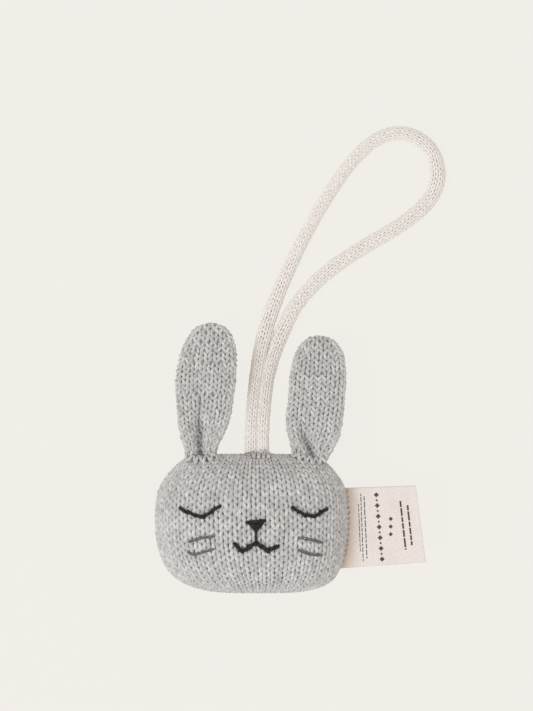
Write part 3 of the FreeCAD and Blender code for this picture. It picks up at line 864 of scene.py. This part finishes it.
def ear_table(root, sections, folds, rows, columns):
    """The outside of an ear: a flat tube, cupped near its root, with a pleat down its front."""
    folds_at, *folds = folds.T
    half = columns // 2
    angle = np.linspace(math.pi, 0, 300)
    table = []
    for along, shift, width, thickness in curve_through(sections, rows):
        pleat, depth, spread, cup = (np.interp(along / MM, folds_at, fold) for fold in folds)
        cup = max(cup, 0.02)
        radius = width / math.sin(cup)
        flat = radius * cup * np.cos(angle)
        rise = thickness * np.sin(angle) ** EAR_EDGE
        away = np.hypot(flat - pleat * MM, PLEAT_BOTTOM) - PLEAT_BOTTOM
        front = rise - depth * MM * np.exp(-away / (spread * MM))
        back = -rise - 0.5 * depth * MM * np.exp(-(away / (2.5 * spread * MM)) ** 2)
        ring = []
        for reach, lift in ((flat, front), (flat[::-1], back[::-1])):
            across = (radius - lift) * np.sin(reach / radius)
            up = radius - (radius - lift) * np.cos(reach / radius)
            up = up - EAR_SINK * radius * (1 - math.cos(cup))
            ring.append(evened(np.stack([across + shift, up], 1), half + 1))
        across, up = np.concatenate([ring[0], ring[1][1:]]).T
        cos, sin = math.cos(EAR_DROOP), math.sin(EAR_DROOP)
        table.append(np.stack([across, along * cos + up * sin, up * cos - along * sin], axis=-1))
    return np.array(table) + root


def knit_ear(name, root, sections, folds, chance):
    """An ear: a tube of stocking stitch, pressed flat and narrowed towards its tip."""
    courses = round(distances(curve_through(sections, 200))[-1] / EAR_COURSE)
    table = ear_table(root, sections, folds, courses * 4 + 1, 144)
    surface = Surface(table, courses, closed=True).sunk(EAR_SKIN)
    fabric = Fabric()
    for row in range(courses):
        around = distances(surface.table[row * 4 + 2])[-1]
        count = 2 * max(2, round(around / EAR_WALE / 2))
        course(fabric, surface, row, count, EAR_STITCH, EAR_YARN, chance)
    fabric.core(surface.moved(-0.35 * MM)[::2, ::3], 1)
    return surface, fabric.piece(name, "grey_wool", "grey_lining")


# ---------------- embroidery

EYE_YARN = Yarn(radius=0.82 * MM, sides=10, lay=3.2 * MM, groove=0.20)
MOUTH_YARN = Yarn(radius=0.96 * MM, sides=10, lay=3.4 * MM, groove=0.20)
NOSE_YARN = Yarn(radius=0.52 * MM, sides=8, lay=3.0 * MM, groove=0.18)
WHISKER_YARN = Yarn(radius=0.30 * MM, sides=8, lay=2.2 * MM, groove=0.16)

# Each end of a stitch goes down into the knitting over this share of its length.
SEWN_IN = 0.14
# The size of a step along a stitch.
STITCH_STEP = 0.45 * MM

# The lines of the face, as millimetres across and up from the middle of the head.
EYES = {
    "left_eye": [(-34.3, 7.8), (-26.7, 4.5), (-22.6, 4), (-14.7, 9.4)],
    "right_eye": [(19.6, 8.3), (25.8, 4.7), (30.3, 4.2), (36.1, 7.9)],
}
MOUTH = [(-8.1, -9.1), (-4.1, -12.4), (2.2, -8.2), (8.1, -12.2), (12.4, -9.7)]
PHILTRUM = [(2.1, -1.9), (2.2, -8.2)]
NOSE_BAR = [(-2.5, 1.5), (7.1, 2.4)]
NOSE_TIP = (2.2, -2.9)
WHISKERS = {
    "left_upper_whisker": [(-30.6, -8.2), (-24.1, -6.2), (-17.6, -5.3)],
    "left_lower_whisker": [(-31, -12.4), (-27, -13.9), (-17.6, -11.2)],
    "right_upper_whisker": [(21.8, -5.8), (27.3, -6.7), (34.6, -8.8)],
    "right_lower_whisker": [(22, -11.7), (28.9, -14.1), (34.4, -14.6)],
}


class Ground:
    """Finds the outside of the knitting under a point, seen from in front. A surface's nearest
    points are averaged over the blur, and a surface within reach goes before one that isn't."""

    NEAREST = 8
    BLUR = 0.3 * MM
    REACH = 1.5 * MM

    def __init__(self, *surfaces):
        self.tables = [(surface.moved(rise).reshape(-1, 3), surface.normals.reshape(-1, 3))
                       for surface, rise in surfaces]

    def at(self, x, y):
        """The highest point of the surfaces at (x, y), and the direction away from it."""
        found = []
        for points, normals in self.tables:
            away = (points[:, 0] - x) ** 2 + (points[:, 1] - y) ** 2
            away = np.where(normals[:, 2] > 0, away, 1)
            near = np.argpartition(away, self.NEAREST)[:self.NEAREST]
            weight = 1 / (away[near] + self.BLUR ** 2)
            weight = (weight / weight.sum())[:, None]
            height = (points[near] * weight).sum(0)[2]
            reached = away[near].min() < self.REACH ** 2
            found.append((reached, height, unit((normals[near] * weight).sum(0))))
        reached, height, normal = max(found, key=lambda one: one[:2])
        return np.array([x, y, height]), normal

    def trace(self, places, lifts):
        """A line over the surfaces, lifted off them, and the directions away from them."""
        found = np.array([self.at(x, y) for x, y in places])
        return found[:, 0] + found[:, 1] * lifts[:, None], found[:, 1]


class Sewing(Fabric):
    """Stitches sewn on to a ground."""

    def __init__(self, ground):
        super().__init__()
        self.ground = ground

    def stitch(self, start, end, yarn, arch=0.35 * MM, dive=1.6 * MM):
        """One stitch lying on the knitting from start to end, in millimetres, its ends going
        down into it."""
        start, end = np.array(start) * MM, np.array(end) * MM
        t = np.linspace(0, 1, 15)
        sunk = dive * (1 - smooth_step(np.minimum(t, 1 - t) / SEWN_IN))
        lifts = yarn.radius * 0.25 + arch * np.sin(math.pi * t) - sunk
        path, up = self.ground.trace(part_way(start, end, t[:, None]), lifts)
        size = max(9, round(np.linalg.norm(end - start) / STITCH_STEP))
        self.tube(evened(path, size), unit(evened(up, size)), yarn)

    def line(self, corners, yarn, length, chance, overlap=0.45):
        """Backstitches through some corners, each starting beside the last one's end."""
        corners = np.array(corners, float)
        for first, last in zip(corners[:-1], corners[1:]):
            count = max(1, round(np.linalg.norm(last - first) / length))
            ahead = unit(last - first)
            slip = ahead * overlap - 0.32 * left_of(ahead)
            for k in range(count):
                start = part_way(first, last, k / count) - slip + chance.normal(0, 0.10, 2)
                end = part_way(first, last, (k + 1) / count) + slip + chance.normal(0, 0.10, 2)
                self.stitch(start, end, yarn)


def embroider_face(ground, chance):
    """The closed eyes, the nose, the mouth and the whiskers."""
    made = {}
    for name, corners in EYES.items():
        eye = Sewing(ground)
        eye.line(corners, EYE_YARN, 4.3, chance)
        made[name] = eye.piece(name + "_stitches", "charcoal_wool")
    mouth = Sewing(ground)
    mouth.line(MOUTH, MOUTH_YARN, 4.0, chance)
    mouth.stitch(*PHILTRUM, NOSE_YARN)
    made["mouth"] = mouth.piece("mouth_stitches", "charcoal_wool")
    nose = Sewing(ground)
    left, right = np.array(NOSE_BAR)
    for share in np.linspace(0.12, 0.88, 9):
        top = part_way(left, right, share) + (0, -0.5)
        foot = np.array(NOSE_TIP) + (1.2 * (share - 0.5), 1.9 * abs(share - 0.5))
        nose.stitch(top, foot + chance.normal(0, 0.1, 2), NOSE_YARN)
    nose.stitch(left, right, EYE_YARN, arch=0.6 * MM)
    made["nose"] = nose.piece("nose_stitches", "charcoal_wool")
    for name, corners in WHISKERS.items():
        made[name] = stitch_whisker(name, ground, np.array(corners) * MM)
    return made


def stitch_whisker(name, ground, corners):
    """One long stitch of thin doubled yarn, whose two strands part a little in the middle."""
    fabric = Fabric()
    line = curve_through(corners, 41)
    along = np.linspace(0, 1, 41)
    edge = smooth_step(np.minimum(along, 1 - along) / 0.06)
    part = 0.25 * MM + 0.22 * MM * np.sin(math.pi * along) * (1 + 0.5 * np.cos(5 * along))
    parted = left_of(unit(np.gradient(line, axis=0))) * (part * edge)[:, None]
    for side in (-1, 1):
        path, up = ground.trace(line + side * parted, (0.10 - 1.2 * (1 - edge)) * MM)
        fabric.tube(path, up, WHISKER_YARN)
    return fabric.piece(name + "_stitches", "slate_wool")


# ---------------- seams and sewing

SEAM_YARN = Yarn(radius=0.72 * MM, sides=8, lay=5 * MM, groove=0.12)
SEAM_PITCH = 3.1 * MM
SEAM_REACH = 1.5 * MM
# How deep the seam's yarn lies inside the edge, and how much deeper where it enters a panel.
SEAM_DEPTH, SEAM_DIVE = 0.75 * MM, 0.9 * MM
EAR_SEWING_YARN = Yarn(radius=0.74 * MM, sides=8, lay=5 * MM, groove=0.14)
ANCHOR_YARN = Yarn(radius=0.34 * MM, sides=8, lay=3 * MM, groove=0.14)
BINDING_YARN = Yarn(radius=0.56 * MM, sides=8, lay=4 * MM, groove=0.15)
LABEL_THREAD = Yarn(radius=0.22 * MM, sides=6, lay=2 * MM, groove=0.10)
# Where the label is caught, up its edge.
LABEL_SEWN = np.arange(-19.5, 15.5, 2.6) * MM
# Where each ear's base is sewn down, as millimetres across and up.
EAR_BASE_LINES = {
    "left_ear": [(-31, 32), (-28, 31.2), (-24.4, 31), (-20.4, 31.5), (-17.6, 32.6)],
    "right_ear": [(20, 33.6), (22.6, 32.2), (27, 30.9), (31.6, 30.4), (34.8, 31)],
}


def outline(surface):
    """The edge of one half of the head, once round."""
    return rim(surface.moved(HEAD_SKIN))


def sew_seam(surface):
    """The yarn that laces the front of the head to the back, all round its edge."""
    edge = outline(surface)[:, :2]
    edge = np.concatenate([edge, edge[:1]])
    stitches = round(distances(edge)[-1] / SEAM_PITCH)
    count = stitches * 12
    edge = evened(edge, count + 1)[:-1]
    ahead = unit(np.roll(edge, -1, axis=0) - np.roll(edge, 1, axis=0))
    outward = -left_of(ahead)
    swing = np.cos(TURN * stitches * np.arange(count) / count)
    out = -SEAM_DEPTH - SEAM_DIVE * np.abs(swing) ** 3
    path = np.column_stack([edge + outward * out[:, None], SEAM_HEIGHT + SEAM_REACH * swing])
    fabric = Fabric()
    fabric.tube(path, np.column_stack([outward, np.zeros(count)]), SEAM_YARN, closed=True)
    return fabric.piece("head_seam_yarn", "grey_wool")


def sew_ear(name, ground, chance):
    """Stitches over the front edge of an ear's base, leaning to and fro like the knitting."""
    sewing = Sewing(ground)
    line = curve_through(np.array(EAR_BASE_LINES[name]), 60)
    line = evened(line, 2 * round(distances(line)[-1] / 3.4) + 1)
    for k, (middle, ahead) in enumerate(zip(line, unit(np.gradient(line, axis=0)))):
        half = left_of(ahead) * 1.5 + ahead * (0.75 if k % 2 else -0.75)
        middle = middle + chance.normal(0, 0.12, 2)
        sewing.stitch(middle - half, middle + half, EAR_SEWING_YARN, dive=1.3 * MM)
    return sewing.piece(name + "_sewing", "grey_wool")


def sew_crown(ground, chance):
    """Small stitches that hold the ends of the loop in the crown."""
    sewing = Sewing(ground)
    for x in (-2.4, -0.6, 1.2):
        y = 34.2 + 0.3 * x + chance.normal(0, 0.15)
        sewing.stitch((x - 0.9, y), (x + 0.9, y + 0.3), ANCHOR_YARN, dive=0.9 * MM)
    return sewing.piece("crown_sewing", "tan_thread")


def bind_crown(ground, chance):
    """Grey stitches over the foot of the loop, drawn up from the edge of the head."""
    sewing = Sewing(ground)
    for k, x in enumerate(np.arange(0.6, 8.8, 1.15)):
        lean = 0.35 if k % 2 else -0.35
        top = 35.3 - 0.06 * (x - 4.2) ** 2 + chance.normal(0, 0.15)
        sewing.stitch((x - lean, 31.8), (x + lean, top), BINDING_YARN, dive=0.8 * MM)
    return sewing.piece("crown_binding", "grey_wool")


# ---------------- the label

TAPE_WIDTH = 38.5 * MM
TAPE_THICKNESS = 0.42 * MM
TAPE_GAP = 0.26 * MM
# Corners as seen from in front, in millimetres: the two in the seam, then the two at the fold.
LABEL_CORNERS = np.array([[(42.4, -21.9), (43.2, 16.9)], [(83.7, -19), (78.8, 18.1)]]) * MM
TAPE_STEPS = 60
# How far the label waves, curls up at its low outer corner, and sags at its high outer corner.
WAVE, CURL, SAG = 0.45 * MM, 0.7 * MM, 0.4 * MM
# The printed marks, in millimetres: the ends and width of each broken line, the ends of a row of
# diamonds, and the middles of three more.
BROKEN_LINES = (((51.6, 9.3), (52.5, -13.4), 0.34), ((52.7, 14.2), (53.9, -18.2), 0.40),
                ((54.3, 12.8), (55.7, -16.8), 0.44), ((71.8, 10.6), (74.4, -12.6), 0.85),
                ((75.3, 8.6), (77.4, -10.4), 0.85))
DIAMOND_ROW = ((60.2, 13.6), (63, -17.4))
OTHER_DIAMONDS = ((67.2, 2), (67.2, -1.7), (67.2, -5.4))


def label_point(out, across, side):
    """A point of the folded tape. out runs from the seam, 0, to the fold, 1; side is the
    distance above its middle plane."""
    seam, fold = part_way(LABEL_CORNERS[:, 0], LABEL_CORNERS[:, 1], across)
    x, y = part_way(seam, fold, out)
    wave = WAVE * math.sin(math.pi * (1.3 * out + 0.9 * across)) * out
    corner = CURL * out ** 3 * (1 - across) ** 2 - SAG * out ** 2 * across
    return x, y, SEAM_HEIGHT + side + wave + corner


def folded_tape():
    """The outer and inner faces of the folded tape, and where each point is on the flat tape."""
    middle = (TAPE_THICKNESS + TAPE_GAP) / 2
    turn = np.linspace(math.pi / 2, -math.pi / 2, 9)
    flat = np.linspace(0, 1, TAPE_STEPS)
    out = np.concatenate([flat, np.ones(len(turn) - 2), flat[::-1]])
    angle = np.pad(turn, TAPE_STEPS - 1, "edge")
    faces = []
    for radius in (middle + TAPE_THICKNESS / 2, middle - TAPE_THICKNESS / 2):
        face = [[label_point(position, across, radius * math.sin(bend))
                 for across in np.linspace(0, 1, 41)] for position, bend in zip(out, angle)]
        shift = np.stack([radius * np.cos(angle), 0 * angle, 0 * angle], 1)
        faces.append(np.array(face) + shift[:, None])
    distance = distances(faces[0][:, 20])
    distance = np.minimum(distance, distance[-1] - distance)
    space = np.zeros(faces[0].shape)
    space[..., 0] = distance[:, None]
    space[..., 1] = np.linspace(0, TAPE_WIDTH, 41)
    return faces[0], faces[1], space


def print_mark(fabric, centre, size, turn):
    """A small flat mark, printed on the front of the label. Lengths are in millimetres."""
    cos, sin = math.cos(turn), math.sin(turn)
    top = np.zeros((3, 3, 3))
    for row, column in np.ndindex(3, 3):
        right, up = size[0] * (column - 1) / 2, size[1] * (row - 1) / 2
        place = np.array(centre) + (right * cos - up * sin, right * sin + up * cos)
        top[row, column] = on_label(*place * MM)
    lift = np.array([0, 0, 0.05 * MM])
    fabric.sheet(top + lift, top - lift, 1)


def on_label(x, y):
    """The point of the label's front face at (x, y)."""
    across = 0.5
    for _ in range(6):
        seam, fold = part_way(LABEL_CORNERS[:, 0], LABEL_CORNERS[:, 1], across)
        out = (x - seam[0]) / (fold[0] - seam[0])
        low, high = part_way(LABEL_CORNERS[0], LABEL_CORNERS[1], out)
        across = (y - low[1]) / (high[1] - low[1])
    return label_point(out, across, TAPE_GAP / 2 + TAPE_THICKNESS)


def print_label(fabric, chance):
    """Generic marks: broken lines, a row of diamonds and three more diamonds beside it."""
    for first, last, wide in BROKEN_LINES:
        first, last = np.array(first), np.array(last)
        across, up = last - first
        length = math.hypot(across, up)
        reached = 0.0
        while reached < length:
            dash = min(chance.uniform(1.1, 3.2) * (0.6 + wide), length - reached + 0.3)
            centre = part_way(first, last, (reached + dash / 2) / length)
            print_mark(fabric, centre, (dash, wide), math.atan2(up, across))
            reached += dash + 0.55
    first, last = np.array(DIAMOND_ROW)
    for k, share in enumerate(np.linspace(0, 1, 13)):
        size = 0.85 if k % 2 else 1.75
        print_mark(fabric, part_way(first, last, share), (size, size), math.pi / 4)
    for centre in OTHER_DIAMONDS:
        print_mark(fabric, centre, (1.5, 1.5), math.pi / 4)


def make_label(chance):
    """The side label: one strip of printed cotton tape, folded in half and caught in the seam."""
    fabric = Fabric()
    outer, inner, space = folded_tape()
    fabric.sheet(outer, inner, 0, space)
    print_label(fabric, chance)
    return fabric.piece("label_tape", "label_cotton", "label_ink")


def sew_label(surface, chance):
    """Thread that catches the label in the seam, along the head's edge."""
    fabric = Fabric()
    edge = outline(surface)
    edge = edge[(edge[:, 0] > 0) & (edge[:, 1] > -21 * MM) & (edge[:, 1] < 16 * MM)]
    edge = edge[np.argsort(edge[:, 1])]
    share = np.linspace(0, 1, 9)
    for y in LABEL_SEWN:
        x = np.interp(y, edge[:, 1], edge[:, 0])
        start = y + chance.normal(0, 0.3 * MM)
        end = y + 1.5 * MM + chance.normal(0, 0.4 * MM)
        path = np.stack([x - 0.9 * MM + 1.7 * MM * share, part_way(start, end, share),
                         SEAM_HEIGHT + 0.4 * MM + 0.75 * MM * np.sin(math.pi * share)], 1)
        fabric.tube(path, (0, 0, 1), LABEL_THREAD)
    return fabric.piece("label_sewing", "tan_thread")


# ---------------- filling

CASE_RADIUS = 15.2 * MM
CASE_HALF_DEPTH = 9.2 * MM
FILLING_INSET = 2.4 * MM
# The filling's size, in parts of the inset form, and how far its lumps change it.
FILLING_SIZE, LUMP_SIZE = 0.965, 0.02


def make_filling(front, back):
    """Fibre filling: a lumpy body that fills the head, hollow where the rattle case sits."""
    faces = []
    for surface, columns in ((front, slice(None, None, 3)), (back, slice(None, None, -3))):
        face = surface.moved(-FILLING_INSET)[::4, columns]
        lumps = np.sin(face[..., 0] * 410) * np.sin(face[..., 1] * 370 + face[..., 2] * 200)
        middle = np.array([0, 0, SEAM_HEIGHT])
        faces.append(middle + (face - middle) * (FILLING_SIZE + LUMP_SIZE * lumps[..., None]))
    fabric = Fabric()
    fabric.sheet(faces[0], faces[1], 0)
    angle = np.linspace(0, TURN, 33)
    rings = []
    for reach, depth in ((0.5, 1), (0.94, 1), (1, 0.9), (1, -0.9), (0.94, -1), (0.5, -1)):
        radius = CASE_RADIUS * reach
        height = np.full(33, SEAM_HEIGHT + CASE_HALF_DEPTH * depth)
        rings.append(np.stack([radius * np.cos(angle), radius * np.sin(angle), height], 1))
    fabric.core(np.array(rings), 0)
    return fabric.piece("fibre_filling", "fibrefill")


def stands_for(cad_node):
    """A piece that stands for one CAD node."""
    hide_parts(cad_node)


def on_head(piece, cad_node):
    """A piece that moves with the head and stands for one CAD node."""
    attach(piece, "head")
    stands_for(cad_node)


def finish_plastic(cad_node, material):
    """Gives a CAD node that no piece stands for a better material."""
    mesh = frame["nodes"][cad_node].data
    for number in range(len(mesh.materials)):
        mesh.materials[number] = MATERIALS[material]


make_camera()
make_floor()
make_lights()

chance = np.random.default_rng(7)
cord_path = centreline(CORD_ROUTE)
cord_surface, hanging_cord = knit_cord(cord_path, chance)
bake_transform(hanging_cord)
stands_for("hanging_cord")
loop_stitches = join_legs(cord_path, chance)
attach(loop_stitches, "loop")
stands_for("loop_stitches")

front_panel, back_panel = stuffed([head_panel(1), head_panel(-1)])
front_surface, head_front = knit_panel("head_front_knit", front_panel, chance)
back_surface, head_back = knit_panel("head_back_knit", back_panel, chance)
on_head(head_front, "front_panel")
on_head(head_back, "back_panel")

head_ground = (front_surface, HEAD_SKIN)
for name, (root, sections, folds) in EARS.items():
    ear_surface, ear_knit = knit_ear(name + "_knit", root, sections, folds, chance)
    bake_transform(ear_knit)
    stands_for(name)
    ear_sewing = sew_ear(name, Ground(head_ground, (ear_surface, EAR_SKIN)), chance)
    on_head(ear_sewing, name + "_stitches")

for name, stitches in embroider_face(Ground(head_ground), chance).items():
    on_head(stitches, name)

cord_ground = Ground(head_ground, (cord_surface, CORD_SKIN))
on_head(sew_crown(cord_ground, chance), "cord_anchor_stitches")
on_head(bind_crown(cord_ground, chance), "cord_anchor_stitches")
on_head(sew_seam(front_surface), "seam_yarn")
on_head(sew_label(front_surface, chance), "label_stitches")

label = make_label(chance)
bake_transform(label)
stands_for("label")

filling = make_filling(front_surface, back_surface)
on_head(filling, "stuffing")

for name in ("rattle_case_lower", "rattle_case_upper"):
    finish_plastic(name, "rattle_plastic")
for number in (1, 2, 3):
    finish_plastic(f"rattle_bead_{number}", "bead_plastic")
